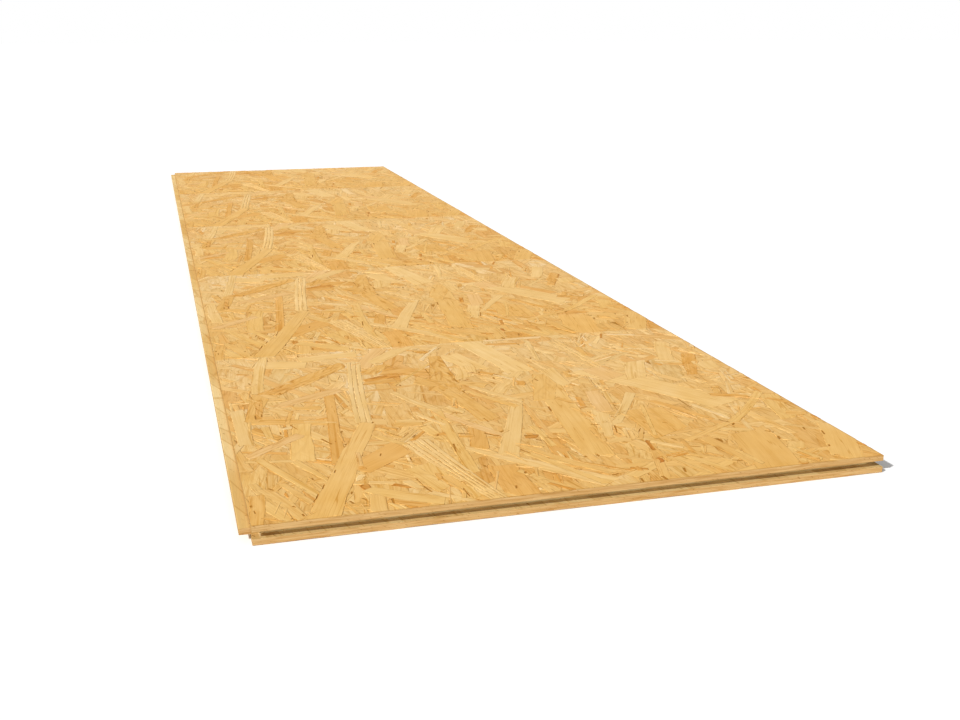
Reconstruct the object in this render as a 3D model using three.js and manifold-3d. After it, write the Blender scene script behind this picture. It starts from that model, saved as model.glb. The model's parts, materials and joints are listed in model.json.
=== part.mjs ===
// An OSB/3 floor panel with a tongue-and-groove joint milled round all four edges.
// Millimetres, +Z up. The panel lies flat: its length runs along Y, its width along X.
// The laid face is what one panel covers on the floor. The tongues stand out past it at
// -X and +Y and the grooves are cut into it at +X and -Y, so panels set out at a pitch
// of faceWidth by faceLength lock together. The origin is the middle of the laid face,
// on the underside.
import * as THREE from "three";
import { mergeVertices } from "three/addons/utils/BufferGeometryUtils.js";
import Module from "manifold-3d";

// The laid face and the board.
const faceLength = 2440;
const faceWidth = 590;
const thickness = 18;

// The tongue. Each of its flanks draws in by tongueFlankTaper from root to nose, and the
// nose's two corners are rounded, so that it finds the groove of the next panel.
const tongueLength = 10;
const tongueRoot = 5.8;
const tongueFlankTaper = 0.15;
const noseRadius = 1;

// The groove takes that tongue with this much room on each flank at the root and ahead
// of the nose. Its flanks are parallel, and the cutter leaves a small radius along both
// corners of its floor.
const flankClearance = 0.15;
const noseClearance = 0.5;
const grooveFloorRadius = 0.5;

const arcSegments = 4;

const wasm = await Module();
wasm.setup();

// Adds a rounded corner to an outline that comes from before, turns at corner and goes
// on towards after.
function roundCorner(outline, before, corner, after, radius) {
  const inward = new THREE.Vector2().subVectors(corner, before).normalize();
  const outward = new THREE.Vector2().subVectors(after, corner).normalize();
  const turn = Math.acos(inward.dot(outward));
  const side = Math.sign(inward.cross(outward));
  const start = corner.clone().addScaledVector(inward, -radius * Math.tan(turn / 2));
  const toCentre = new THREE.Vector2(-inward.y, inward.x).multiplyScalar(side * radius);
  const centre = start.clone().add(toCentre);
  const startAngle = Math.atan2(-toCentre.y, -toCentre.x);
  outline.lineTo(start.x, start.y);
  outline.absarc(centre.x, centre.y, radius, startAngle, startAngle + side * turn, side < 0);
}

// The groove, cut in from the face at x = faceSize, from its lower lip to its upper one.
function addGroove(outline, faceSize) {
  const middle = thickness / 2;
  const half = tongueRoot / 2 + flankClearance;
  const floor = faceSize - tongueLength - noseClearance;
  const mouthLow = new THREE.Vector2(faceSize, middle - half);
  const floorLow = new THREE.Vector2(floor, middle - half);
  const floorHigh = new THREE.Vector2(floor, middle + half);
  const mouthHigh = new THREE.Vector2(faceSize, middle + half);
  outline.lineTo(mouthLow.x, mouthLow.y);
  roundCorner(outline, mouthLow, floorLow, floorHigh, grooveFloorRadius);
  roundCorner(outline, floorLow, floorHigh, mouthHigh, grooveFloorRadius);
  outline.lineTo(mouthHigh.x, mouthHigh.y);
}

// The tongue, standing out from the face at x = 0, from its upper flank to its lower one.
function addTongue(outline) {
  const middle = thickness / 2;
  const rootHalf = tongueRoot / 2;
  const noseHalf = rootHalf - tongueFlankTaper;
  const rootHigh = new THREE.Vector2(0, middle + rootHalf);
  const noseHigh = new THREE.Vector2(-tongueLength, middle + noseHalf);
  const noseLow = new THREE.Vector2(-tongueLength, middle - noseHalf);
  const rootLow = new THREE.Vector2(0, middle - rootHalf);
  outline.lineTo(rootHigh.x, rootHigh.y);
  roundCorner(outline, rootHigh, noseHigh, noseLow, noseRadius);
  roundCorner(outline, noseHigh, noseLow, rootLow, noseRadius);
  outline.lineTo(rootLow.x, rootLow.y);
}

// The board's section between two opposite edges that lie faceSize apart.
function boardSection(faceSize) {
  const outline = new THREE.Shape();
  outline.moveTo(0, 0);
  outline.lineTo(faceSize, 0);
  addGroove(outline, faceSize);
  outline.lineTo(faceSize, thickness);
  outline.lineTo(0, thickness);
  addTongue(outline);
  outline.closePath();
  return outline;
}

// That section drawn out into a bar: its grooved edge faces grooveWay, and it runs past
// the laid face at both ends, so that its own ends leave no mark on the panel.
function milledBar(faceSize, barLength, grooveWay) {
  const overrun = 2 * tongueLength;
  const bar = new THREE.ExtrudeGeometry(boardSection(faceSize), {
    depth: barLength + 2 * overrun,
    bevelEnabled: false,
    curveSegments: arcSegments,
  });
  bar.translate(-faceSize / 2, 0, -barLength / 2 - overrun);
  const up = new THREE.Vector3(0, 0, 1);
  const along = new THREE.Vector3().crossVectors(grooveWay, up);
  bar.applyMatrix4(new THREE.Matrix4().makeBasis(grooveWay, up, along));
  return bar;
}

function solidOf(geometry) {
  const bare = geometry.clone().deleteAttribute("normal").deleteAttribute("uv");
  const merged = mergeVertices(bare, 1e-4);
  return new wasm.Manifold(
    new wasm.Mesh({
      numProp: 3,
      vertProperties: merged.attributes.position.array,
      triVerts: new Uint32Array(merged.index.array),
    }),
  );
}

function geometryOf(solid) {
  const { vertProperties, triVerts } = solid.getMesh();
  const geometry = new THREE.BufferGeometry();
  geometry.setAttribute("position", new THREE.BufferAttribute(vertProperties, 3));
  geometry.setIndex(new THREE.BufferAttribute(triVerts, 1));
  const faceted = geometry.toNonIndexed();
  faceted.computeVertexNormals();
  return faceted;
}

// The mill runs the long edges over the whole board and then the two ends over its whole
// width, so the panel is what both bars have in common. That settles the corners too:
// the tongues meet in a full square corner, the grooves run into each other and out
// through both edges, and each groove cuts back the end of the tongue that it crosses.
function panelGeometry() {
  const longEdges = milledBar(faceWidth, faceLength, new THREE.Vector3(1, 0, 0));
  const ends = milledBar(faceLength, faceWidth, new THREE.Vector3(0, -1, 0));
  return geometryOf(solidOf(longEdges).intersect(solidOf(ends)));
}

const osb = new THREE.MeshStandardMaterial({
  color: new THREE.Color().setRGB(0.9, 0.7, 0.41, THREE.SRGBColorSpace),
  roughness: 0.7,
  metalness: 0,
});

const panel = new THREE.Mesh(panelGeometry(), osb);
panel.name = "osb_panel";

const part = new THREE.Group();
part.add(panel);

export default part;
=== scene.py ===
"""Looks of the tongue-and-groove OSB panel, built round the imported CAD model.

Three pieces fill the outline of the CAD solid between them: a milled core, which is the
solid less a thin skin above and below, and a sheet of pressed strands on each face. The
strands are real relief. Each one is drawn as an outline on the face and laid over the ones
before it. What shows of every strand is cut out of that pile and raised to its own height,
with a slope at its rim down to whatever lies under it.

Lengths on a face are in millimetres, from the middle of the laid face, with y along the
panel. They turn into metres when a mesh is made.
"""

import json
import math
from dataclasses import dataclass, replace
from functools import partialmethod
from itertools import chain, count

import bpy
import numpy as np
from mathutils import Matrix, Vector, geometry
from mathutils.bvhtree import BVHTree


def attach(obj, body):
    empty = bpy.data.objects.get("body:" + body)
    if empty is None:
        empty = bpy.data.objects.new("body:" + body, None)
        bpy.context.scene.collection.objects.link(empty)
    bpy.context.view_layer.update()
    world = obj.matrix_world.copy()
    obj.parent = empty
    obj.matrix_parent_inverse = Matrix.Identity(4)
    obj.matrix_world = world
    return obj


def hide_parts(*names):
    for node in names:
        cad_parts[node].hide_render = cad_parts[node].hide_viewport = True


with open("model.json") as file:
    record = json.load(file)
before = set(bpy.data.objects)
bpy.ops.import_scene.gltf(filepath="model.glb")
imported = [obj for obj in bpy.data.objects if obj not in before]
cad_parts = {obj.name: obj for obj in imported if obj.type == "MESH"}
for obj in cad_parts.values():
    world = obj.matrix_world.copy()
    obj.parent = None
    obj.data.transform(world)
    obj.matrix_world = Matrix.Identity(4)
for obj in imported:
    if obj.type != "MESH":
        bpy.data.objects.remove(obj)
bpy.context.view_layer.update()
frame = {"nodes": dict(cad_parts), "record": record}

MM = 0.001
mounts = {mount["name"]: mount["pos_m"] for mount in frame["record"]["mounts"]}
FACE_LOW = np.array([mounts["side_tongue_shoulder"][0], mounts["end_groove_lip"][1]]) / MM
FACE_HIGH = np.array([mounts["side_groove_lip"][0], mounts["end_tongue_shoulder"][1]]) / MM
THICKNESS = mounts["top_face"][2] / MM

# The strand sheets. SKIN is how far they reach into the board. RIM is how wide the slope
# round a strand is, though never more than RIM_SHARE of half the strand's own width.
SKIN = 0.8
RIM = 0.9
RIM_SHARE = 0.6

# How high each layer of the pile stands over the sheet's flat base, lowest and highest.
BASE_HEIGHTS = (0.10, 0.25)
MIDDLE_HEIGHTS = (0.22, 0.42)
SMALL_HEIGHTS = (0.36, 0.56)
FEATURE_HEIGHTS = (0.46, 0.74)
PIT_HEIGHT = 0.08


def linear(red, green, blue):
    """An sRGB colour of 0 to 255 as the linear colour that Blender works in."""
    shares = np.array([red, green, blue]) / 255
    return tuple(np.where(shares <= 0.04045, shares / 12.92, ((shares + 0.055) / 1.055) ** 2.4))


TONES = {
    "cream": linear(242, 203, 135),
    "pale": linear(240, 199, 129),
    "pinkish": linear(237, 192, 125),
    "straw": linear(237, 192, 115),
    "tan": linear(235, 188, 111),
    "honey": linear(233, 183, 104),
    "amber": linear(230, 176, 96),
    "orange": linear(225, 165, 82),
    "brown": linear(212, 150, 70),
    "rust": linear(200, 130, 56),
    "gap": linear(180, 124, 46),
}

WHITE = (1, 1, 1, 1)

# How strongly the growth rings show as stripes down a strand, and how torn its top is.
GRAIN = {
    "smooth": (0.3, 0.05),
    "plain": (0.5, 0.3),
    "lined": (0.85, 0.2),
    "split": (0.4, 0.1),
    "torn": (0.5, 0.8),
}


# ---------------------------------------------------------------- strands

# How wide the ends of a strand that narrows towards them are, as a share of its width.
LEAF_TIP = 0.25


@dataclass
class Strand:
    """One strand on a face, from the middle of one end to the middle of the other."""

    start: np.ndarray
    end: np.ndarray
    widths: tuple
    colour: tuple
    grain: tuple
    height: float = 0.0
    bow: float = 0.0
    leaf: bool = False

    def __post_init__(self):
        reach = self.end - self.start
        self.length = math.hypot(*reach)
        self.along = reach / self.length
        self.across = np.array([-self.along[1], self.along[0]])

    def bend(self, u):
        """How far the strand's middle line bows out to one side at u along it."""
        share = u / self.length
        return 4 * self.bow * share * (1 - share)

    def half_width(self, u):
        """Half its width at u along it. A leaf narrows towards both of its ends."""
        share = u / self.length
        half = (self.widths[0] * (1 - share) + self.widths[1] * share) / 2
        if self.leaf:
            swell = np.sqrt(np.clip(4 * share * (1 - share), 0, 1))
            half = half * (LEAF_TIP + (1 - LEAF_TIP) * swell)
        return half

    def own(self, points):
        """Points of the face as u along the strand's grain and v across it."""
        offset = points - self.start
        u = offset @ self.along
        return np.stack([u, offset @ self.across - self.bend(u)], axis=-1)

    def on_face(self, own_points):
        """Points u along the strand and v across it as points of the face."""
        u, v = own_points[:, 0], own_points[:, 1]
        return self.start + np.outer(u, self.along) + np.outer(v + self.bend(u), self.across)


def strand_at(middle, length, angle, **rest):
    """A strand by its middle and the angle between its grain and the panel's length."""
    reach = 0.5 * length * np.array([math.sin(angle), math.cos(angle)])
    return Strand(start=middle - reach, end=middle + reach, **rest)


# The strands that stand out in the photograph, on one repeat of its pattern. The pattern
# repeats down the panel from the near end. Each row has the middle of both ends, in
# millimetres from the near left corner of the repeat, the width there, the tone and the
# grain. Later rows lie over earlier ones.
REPEAT = 500
FEATURES = (
    # Broad strands that the others lie on.
    ((357, 332), (331, 75), 32, 32, "tan", "smooth"),
    ((368, 340), (335, 245), 28, 24, "tan", "plain"),
    ((424, 190), (424, 112), 50, 46, "honey", "plain"),
    ((500, 102), (480, -4), 44, 46, "honey", "smooth"),
    ((236, 80), (233, -5), 28, 30, "amber", "plain"),
    ((170, 102), (170, 58), 28, 32, "straw", "lined"),
    ((118, 24), (150, 2), 12, 10, "amber", "plain"),
    ((20, 236), (46, 200), 16, 12, "honey", "torn"),
    ((34, 240), (36, 200), 10, 8, "straw", "plain"),
    ((10, 52), (30, 2), 13, 12, "straw", "smooth"),
    ((186, 400), (248, 378), 30, 26, "amber", "torn"),
    ((276, 452), (300, 372), 30, 30, "pale", "smooth"),
    ((102, 98), (162, 152), 30, 34, "amber", "smooth"),
    ((418, 343), (521, 181), 40, 44, "pale", "smooth"),
    ((440, 300), (428, 347), 34, 30, "pinkish", "smooth"),
    ((462, 290), (490, 362), 24, 26, "pale", "lined"),
    ((315, 502), (345, 355), 30, 36, "cream", "smooth"),
    ((50, 464), (104, 450), 32, 28, "pale", "smooth"),
    ((96, 472), (170, 482), 24, 24, "pale", "smooth"),
    ((205, 505), (165, 420), 22, 20, "pinkish", "smooth"),
    # The near left of the repeat.
    ((17, 262), (100, 235), 18, 16, "honey", "plain"),
    ((10, 300), (13, 187), 15, 16, "pale", "smooth"),
    ((20, 150), (66, 42), 10, 9, "straw", "lined"),
    ((11, 66), (4, -4), 13, 14, "honey", "lined"),
    ((17, 76), (45, -4), 12, 12, "tan", "plain"),
    ((38, 90), (24, 68), 10, 6, "honey", "plain"),
    ((72, 240), (60, 132), 19, 24, "straw", "lined"),
    ((8, 156), (68, 208), 12, 13, "pinkish", "plain"),
    ((114, 348), (90, 118), 11, 13, "amber", "lined"),
    ((178, 225), (180, 211), 12, 10, "cream", "smooth"),
    ((188, 202), (202, 150), 14, 12, "straw", "plain"),
    ((113, 40), (108, -2), 15, 17, "tan", "smooth"),
    ((103, 64), (105, 46), 9, 7, "brown", "torn"),
    ((105, 52), (166, 8), 16, 20, "straw", "smooth"),
    ((240, 182), (226, 120), 16, 18, "amber", "plain"),
    ((211, 240), (260, 150), 11, 12, "pinkish", "plain"),
    ((214, 250), (206, 62), 12, 13, "straw", "lined"),
    ((214, 128), (318, 8), 10, 24, "pale", "plain"),
    ((171, 160), (212, -4), 30, 15, "pale", "split"),
    ((304, 248), (248, 95), 14, 22, "pale", "smooth"),
    # The near right of the repeat.
    ((352, 150), (347, 95), 6, 5, "honey", "plain"),
    ((374, 246), (368, 214), 7, 6, "orange", "torn"),
    ((350, 250), (366, 226), 8, 7, "honey", "torn"),
    ((362, 196), (360, 173), 9, 7, "honey", "torn"),
    ((436, 245), (380, 152), 13, 9, "pale", "smooth"),
    ((380, 196), (366, 144), 20, 17, "pale", "smooth"),
    ((371, 160), (360, 120), 14, 9, "pale", "smooth"),
    ((397, 262), (385, 188), 18, 20, "pinkish", "smooth"),
    ((430, 203), (405, 110), 5, 4, "straw", "plain"),
    ((580, 200), (560, 120), 24, 20, "straw", "plain"),
    ((536, 240), (524, 206), 9, 8, "honey", "torn"),
    ((570, 186), (586, 167), 8, 9, "amber", "plain"),
    ((503, 130), (428, 87), 9, 9, "tan", "plain"),
    ((575, 210), (498, 125), 10, 11, "straw", "plain"),
    ((392, 97), (417, 70), 8, 5, "pale", "smooth"),
    ((424, 88), (422, 58), 6, 4, "amber", "plain"),
    ((592, 94), (550, -4), 30, 31, "tan", "smooth"),
    # The far left of the repeat.
    ((130, 345), (50, 300), 18, 16, "pinkish", "plain"),
    ((100, 285), (66, 292), 12, 11, "honey", "plain"),
    ((40, 345), (22, 258), 20, 16, "honey", "lined"),
    ((57, 504), (37, 350), 12, 14, "cream", "lined"),
    ((148, 442), (78, 374), 18, 28, "honey", "torn"),
    ((84, 378), (46, 344), 20, 22, "amber", "torn"),
    ((252, 423), (188, 343), 5, 5, "straw", "smooth"),
    ((240, 502), (180, 435), 20, 18, "pale", "smooth"),
    ((260, 448), (240, 304), 14, 38, "honey", "torn"),
    ((243, 312), (262, 196), 24, 24, "honey", "plain"),
    ((216, 356), (240, 330), 22, 26, "honey", "torn"),
    ((282, 397), (275, 348), 28, 26, "pale", "lined"),
    # The far right of the repeat.
    ((392, 486), (378, 395), 7, 6, "cream", "smooth"),
    ((376, 357), (378, 290), 20, 16, "pale", "smooth"),
    ((424, 472), (437, 345), 17, 16, "pale", "split"),
    ((446, 438), (441, 398), 7, 7, "honey", "plain"),
    ((558, 430), (528, 350), 20, 18, "pale", "smooth"),
    ((568, 374), (545, 322), 18, 20, "amber", "torn"),
    ((548, 330), (531, 288), 16, 12, "amber", "torn"),
    ((568, 338), (565, 304), 28, 26, "pale", "smooth"),
    # Slivers between them.
    ((50, 137), (77, 78), 9, 8, "straw", "plain"),
    ((33, 86), (54, 32), 8, 7, "tan", "plain"),
    ((136, 186), (162, 150), 9, 7, "straw", "plain"),
    ((144, 208), (160, 172), 8, 6, "straw", "plain"),
    ((160, 211), (192, 205), 14, 11, "honey", "plain"),
    ((165, 222), (196, 213), 9, 7, "pale", "plain"),
    ((226, 252), (240, 226), 8, 6, "cream", "smooth"),
    ((181, 319), (216, 238), 9, 10, "pale", "plain"),
    ((262, 300), (300, 232), 8, 9, "tan", "plain"),
    ((270, 318), (312, 246), 8, 8, "pale", "plain"),
    ((190, 235), (212, 196), 6, 6, "cream", "plain"),
    ((152, 92), (170, 32), 15, 16, "straw", "plain"),
    ((176, 36), (176, 4), 12, 12, "pale", "lined"),
    ((188, 34), (190, 4), 12, 13, "straw", "lined"),
    ((141, 62), (150, 40), 8, 8, "pale", "plain"),
    ((268, 120), (327, 30), 10, 10, "tan", "plain"),
    ((266, 102), (312, 6), 9, 9, "straw", "plain"),
    ((246, 60), (282, -2), 9, 8, "straw", "plain"),
    ((256, 28), (262, -2), 14, 14, "tan", "split"),
    ((262, 22), (281, 0), 5, 4, "orange", "plain"),
    ((299, 124), (306, 100), 10, 7, "amber", "plain"),
    ((296, 170), (297, 108), 8, 8, "straw", "plain"),
    ((446, 214), (482, 138), 8, 8, "amber", "plain"),
    ((515, 214), (556, 196), 12, 10, "amber", "torn"),
    ((448, 92), (462, 16), 14, 14, "honey", "plain"),
    ((462, 52), (470, 12), 5, 5, "straw", "plain"),
    ((388, 86), (388, 40), 6, 6, "honey", "plain"),
    ((392, 52), (410, 4), 7, 6, "tan", "plain"),
    ((410, 50), (432, 6), 9, 8, "straw", "plain"),
    ((10, 14), (27, 2), 3, 3, "amber", "plain"),
    ((155, 30), (192, -4), 8, 7, "cream", "plain"),
    ((101, 72), (108, 86), 6, 6, "cream", "smooth"),
    ((108, 66), (134, 57), 7, 7, "pale", "plain"),
    ((74, 245), (107, 234), 2.5, 2.5, "cream", "plain"),
    ((66, 284), (57, 244), 5, 5, "honey", "torn"),
    ((36, 330), (30, 265), 7, 8, "amber", "torn"),
    ((20, 362), (25, 322), 9, 12, "tan", "torn"),
    ((262, 335), (292, 312), 14, 16, "tan", "torn"),
    ((116, 441), (132, 444), 5, 5, "straw", "torn"),
    # Reddish chips.
    ((165, 394), (198, 428), 20, 16, "honey", "torn"),
    ((166, 366), (200, 360), 28, 16, "amber", "torn"),
    ((158, 360), (196, 360), 12, 20, "amber", "torn"),
    ((159, 368), (202, 379), 11, 17, "orange", "torn"),
    ((167, 374), (188, 382), 6, 7, "brown", "torn"),
    ((148, 207), (162, 196), 7, 6, "amber", "torn"),
    ((191, 160), (199, 154), 5, 4, "straw", "torn"),
    ((378, 144), (386, 140), 3, 2.5, "amber", "torn"),
    ((470, 152), (480, 143), 4, 3, "tan", "torn"),
    ((173, 72), (172, 55), 6, 5, "amber", "torn"),
    ((128, 56), (142, 44), 6, 5, "brown", "torn"),
    ((252, 62), (256, 46), 10, 9, "amber", "torn"),
    ((346, 36), (362, 28), 5, 4, "brown", "plain"),
    ((294, 366), (310, 352), 12, 10, "amber", "torn"),
    ((240, 471), (256, 462), 14, 12, "amber", "torn"),
    ((244, 470), (250, 466), 7, 5, "orange", "torn"),
    ((20, 433), (33, 428), 5, 4, "orange", "torn"),
    ((392, 99), (387, 71), 5, 4, "brown", "torn"),
    ((217, 163), (232, 158), 8, 7, "amber", "torn"),
    ((279, 141), (292, 138), 9, 10, "brown", "torn"),
    ((243, 151), (256, 145), 6, 5, "amber", "torn"),
    ((193, 168), (206, 172), 4, 9, "orange", "torn"),
    ((380, 53), (380, 40), 4.5, 4, "rust", "plain"),
    ((352, 37), (353, 26), 6, 5, "orange", "torn"),
    ((328, 323), (327, 304), 11, 10, "amber", "torn"),
    ((502, 500), (490, 470), 3.5, 3, "brown", "plain"),
    ((395, 343), (391, 318), 8, 7, "honey", "torn"),
    ((509, 344), (513, 333), 5, 5, "orange", "torn"),
    ((421, 297), (418, 278), 5, 4, "amber", "plain"),
    ((112, 104), (107, 100), 7, 6, "orange", "plain"),
    ((566, 138), (584, 128), 16, 14, "honey", "torn"),
    ((586, 122), (594, 106), 7, 6, "orange", "torn"),
    ((584, 36), (592, 28), 6, 5, "orange", "torn"),
    ((511, 19), (527, 9), 5, 4, "amber", "torn"),
    ((503, 7), (512, 3), 4, 4, "orange", "torn"),
    # The long tan strand on top of all, and the lined one that ends on it.
    ((138, 228), (58, -4), 18, 27, "tan", "smooth"),
    ((160, 447), (133, 224), 17, 18, "cream", "split"),
)


# The dark slits that stand out between them: both ends, then the width. SLIT_TAPER is how
# much of that each end has.
SLIT_TAPER = (1.05, 0.8)
SLITS = (
    ((121.5, 25), (121, 14), 2.2),
    ((143, 226), (141, 221), 2.4),
    ((108, 208), (106, 202), 2.0),
    ((133, 134), (131, 127), 1.5),
    ((217, 168), (229, 164), 2.2),
    ((243, 162), (257, 148), 2.6),
    ((279, 145), (283, 143), 3.6),
    ((279, 142), (291, 144), 2.2),
    ((287, 131), (292, 126), 2.4),
    ((198, 171), (196, 166), 2.2),
    ((84, 190), (92, 171), 2.2),
    ((251, 53), (249, 48), 2.4),
    ((233, 24), (231, 17), 1.8),
    ((21, 76.5), (25.5, 70.5), 2.4),
    ((85.5, 30), (88.5, 23.5), 2.0),
    ((332, 224), (330, 208), 2.2),
    ((355, 158), (362, 154), 2.8),
    ((377, 148), (371, 126), 1.8),
    ((346, 10), (345, 1), 2.4),
    ((366, 9), (368, 0), 3.0),
    ((394, 23), (391, 12), 2.4),
    ((317, 76), (318, 72), 2.6),
    ((329, 76), (330, 71), 2.6),
    ((521, 76), (519, 67), 3.0),
    ((559, 92), (557, 84), 2.0),
    ((571, 77), (568, 66), 2.0),
    ((523, 86), (516, 92), 2.6),
    ((424, 73), (433, 68), 2.0),
    ((498, 122), (493, 116), 2.4),
    ((28, 279), (28, 265), 1.6),
    ((35, 281), (34, 271), 1.5),
    ((296, 368), (294, 361), 2.4),
    ((305, 341), (305, 333), 2.4),
    ((373, 409), (371, 402), 2.2),
    ((377, 473), (377, 466), 2.0),
    ((149, 193), (162, 171), 1.6),
    ((163, 172), (171, 183), 1.3),
    ((184, 196), (194, 201), 1.4),
    ((264, 109), (270, 95), 1.8),
    ((266, 50), (285, 33), 1.2),
    ((257, 302), (259, 293), 2.4),
    ((286, 368), (296, 352), 1.6),
    ((62, 52), (58, 40), 1.6),
    ((446, 28), (455, 24), 2.2),
    ((515, 172), (519, 168), 2.0),
    ((3, 43), (3.5, 38), 2.2),
    ((5, 31), (5.5, 24), 1.2),
    ((33, 6), (37, 2), 1.8),
    ((43, 13), (44, 8), 1.8),
    ((37, 32), (39.5, 28), 1.8),
    ((61, 90), (62, 86), 2.2),
    ((70, 72), (67, 62), 1.5),
    ((55.5, 36), (58, 41), 1.5),
    ((83, 97), (85, 104), 1.4),
    ((97, 33), (100, 28.5), 1.8),
    ((102.5, 62), (101, 58), 2.0),
    ((91, 50), (89.5, 44), 1.6),
    ((60, 238), (65, 223), 1.5),
    ((228, 234), (238, 226), 1.6),
    ((206, 141), (203, 118), 1.7),
    ((221, 191), (234, 190), 1.7),
    ((255, 206), (257, 192), 1.7),
    ((151, 64), (154, 46), 1.1),
    ((154, 45), (158, 29), 1.5),
    ((126, 68), (149, 63), 1.1),
    ((186, 30), (187, 10), 1.1),
    ((188, 46), (191, 43), 1.6),
    ((219, 79), (219.5, 74), 2.2),
    ((152, 106), (160, 107), 1.4),
    ((297, 133), (318, 122), 1.3),
    ((384, 176), (386, 170), 1.8),
    ((416, 99), (420, 93), 1.7),
    ((428, 144), (432, 139), 1.8),
    ((488, 136), (494, 124), 2.0),
    ((31, 395), (32.5, 386), 1.8),
    ((61, 348), (62, 342), 2.2),
    ((119, 443), (127, 436), 1.6),
    ((123, 380), (128, 375), 1.8),
    ((212, 439), (217, 433), 2.2),
    ((216, 428), (229, 423), 1.4),
    ((185, 435), (189, 432), 1.7),
    ((195, 421), (200, 414), 1.9),
    ((192, 385), (203, 380), 1.5),
    ((190, 372), (199, 366), 1.4),
    ((237, 394), (237, 366), 1.4),
    ((259, 374), (260, 362), 2.2),
    ((260, 350), (261, 335), 2.2),
    ((195, 343), (196, 337), 2.0),
    ((236, 311), (239, 305), 1.9),
    ((239, 473), (243, 466), 1.7),
    ((253, 471), (256, 462), 1.5),
    ((309, 352), (314, 349), 2.0),
    ((396, 318), (399, 312), 1.7),
    ((349, 323), (351, 314), 2.2),
    ((531, 281), (534, 272), 1.8),
    ((556, 40), (554, 35), 2.0),
    ((545, 14), (550, 11), 2.0),
)


# The photograph's pattern grows paler towards the far end of each repeat, and starts again
# darker with a sharp line. FAR_TINT is how much more of each colour the far end gives back.
FAR_TINT = (1.05, 1.15, 1.50)


def toned(tone, strength, shade):
    """That tone, drawn in towards the commonest one, and as much brighter as shade says."""
    usual = np.array(TONES["tan"])
    return tuple(np.minimum(1, (usual + (np.array(tone) - usual) * strength) * shade))


def without_tint(tone, y):
    """A tone as it was before the repeat's own tint at y made it paler."""
    share = y % REPEAT / REPEAT
    return np.array(tone) / (1 + (np.array(FAR_TINT) - 1) * share)


def repeat_corners():
    """The near left corner of each repeat of the photograph's pattern down the panel."""
    repeats = math.ceil((FACE_HIGH[1] - FACE_LOW[1]) / REPEAT)
    return [FACE_LOW + (0, repeat * REPEAT) for repeat in range(repeats)]


def slit(start, end, widths):
    return Strand(start, end, tuple(widths), TONES["gap"], GRAIN["plain"])


def feature_slits():
    return [
        slit(corner + start, corner + end, (share * width for share in SLIT_TAPER))
        for corner in repeat_corners()
        for start, end, width in SLITS
    ]


def split_lengthwise(rng, strand):
    """The same strand, parted along its grain into narrow ones with thin gaps between."""
    lane_width, kept, slip, shade = 6, 0.93, 2.5, 0.012
    lanes = round(max(strand.widths) / lane_width)
    parts = []
    for lane in range(lanes):
        aside = strand.across * ((lane + 0.5) / lanes - 0.5)
        ahead = strand.along * rng.normal(0, slip)
        parts.append(
            replace(
                strand,
                start=strand.start + aside * strand.widths[0] + ahead,
                end=strand.end + aside * strand.widths[1] + ahead,
                widths=tuple(kept * width / lanes for width in strand.widths),
                colour=tuple(np.array(strand.colour) * rng.normal(1, shade)),
            )
        )
    return parts


def feature_strands(rng):
    """The strands of the photograph, laid out again for each repeat down the panel."""
    strength, shade, bow = 1.0, 0.015, 1.4
    strands = []
    for corner in repeat_corners():
        for start, end, start_width, end_width, tone, grain in FEATURES:
            seen = without_tint(TONES[tone], (start[1] + end[1]) / 2)
            strand = Strand(
                start=corner + start,
                end=corner + end,
                widths=(start_width, end_width),
                colour=toned(seen, strength, rng.normal(1, shade)),
                grain=GRAIN[grain],
                bow=rng.normal(0, bow),
            )
            strands += split_lengthwise(rng, strand) if grain == "split" else [strand]
    return strands


# The tones that loose strands take, each as often as it is named.
LOOSE_TONES = ("pale", "straw", "straw", "tan", "tan", "tan", "honey", "honey", "amber", "orange")

# How far the tones of deep, large and small strands stand off from the commonest one, how
# bright they are in the mean, and how much that differs between them.
DEEP = (0.8, 0.97, 0.02)
LARGE = (0.8, 1.0, 0.02)
SMALL = (1.2, 1.0, 0.035)


def random_tone(rng, strength, shade, spread):
    """One of those tones, set off and shaded as one of those triples says."""
    name = LOOSE_TONES[rng.integers(len(LOOSE_TONES))]
    return toned(TONES[name], strength, rng.normal(shade, spread))


@dataclass
class Kind:
    """What loose strands of one kind are like. A pair is the range that each falls in."""

    lengths: tuple
    widths: tuple
    # How much of its width a strand has at either end, and how strong its growth rings are.
    starts: tuple
    ends: tuple
    stripes: tuple
    # What random_tone takes.
    tones: tuple
    # How torn they are at most, how far they bow for their length, and how many are leaves.
    torn: float
    bow: float
    leaves: float

    def grown(self, rng, middle, length, angle, widths, colour, bow_length):
        """A strand of this kind, which bows by a small share of bow_length."""
        return strand_at(
            middle,
            length,
            angle,
            widths=widths,
            colour=colour,
            grain=(rng.uniform(*self.stripes), self.torn * rng.random()),
            bow=rng.normal(0, self.bow) * bow_length,
            leaf=rng.random() < self.leaves,
        )

    def tapered(self, rng, width):
        """The widths of both ends of a strand of that width."""
        return (width * rng.uniform(*self.starts), width * rng.uniform(*self.ends))


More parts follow.
